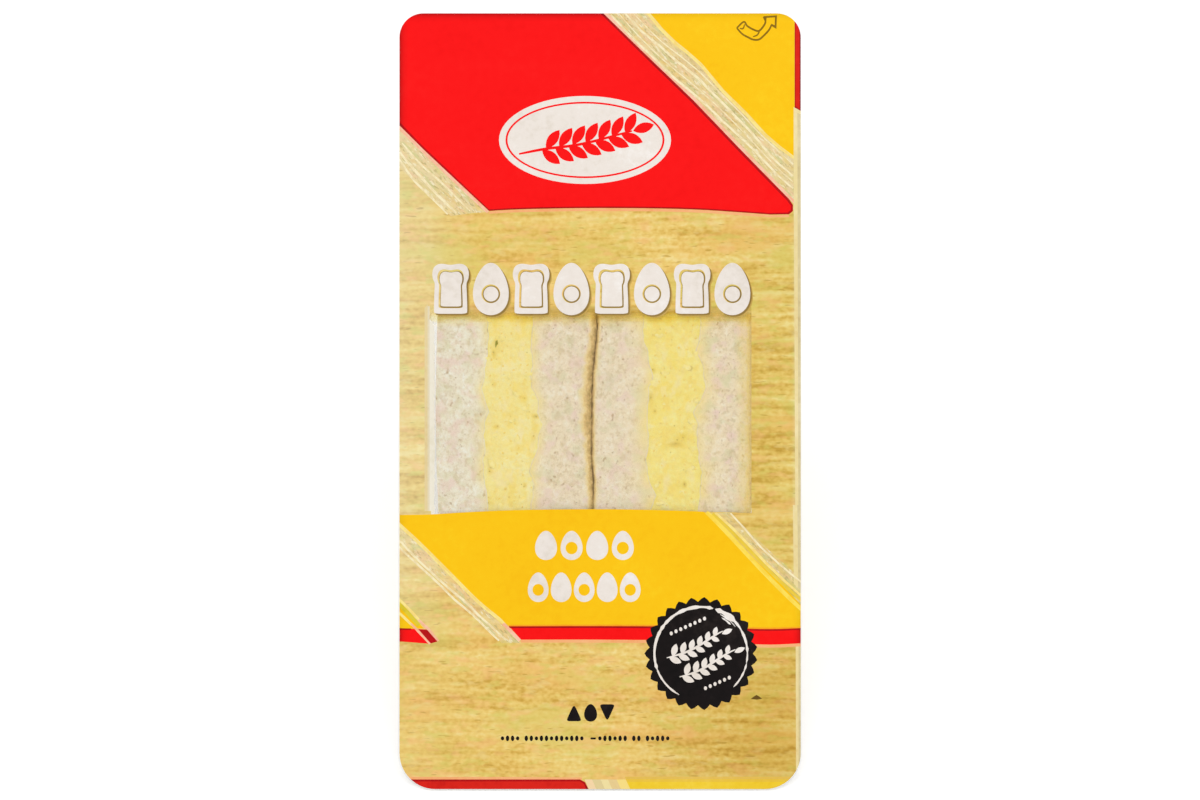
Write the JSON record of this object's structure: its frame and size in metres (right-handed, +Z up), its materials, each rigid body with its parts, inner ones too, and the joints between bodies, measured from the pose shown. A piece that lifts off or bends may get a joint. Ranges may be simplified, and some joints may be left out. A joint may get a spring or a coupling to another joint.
{
  "type": "egg salad sandwich in a sealed wedge pack",
  "caption": "Egg salad sandwich cut corner to corner, its halves side by side in a clear wedge tray sealed with a printed film that has a clear window.",
  "frame": {"origin": "on the surface that the pack stands on, under the centre of its box", "axes": "+Z up, +X across the film face from left to right, +Y from the film face's lower edge to the back"},
  "size_m": [0.0934, 0.1372, 0.1178],
  "materials": {
    "printed_film": "satin printed plastic film with a clear window",
    "clear_sheet": "clear thermoformed plastic sheet",
    "bread": "soft matte crumb with a golden crust",
    "egg_salad": "moist chopped egg in dressing"
  },
  "bodies": {
    "root": {"lid_film": "printed_film", "tray": "clear_sheet", "bread_1": "bread", "egg_salad_1": "egg_salad", "bread_2": "bread", "bread_3": "bread", "egg_salad_2": "egg_salad", "bread_4": "bread"}
  },
  "joints": []
}
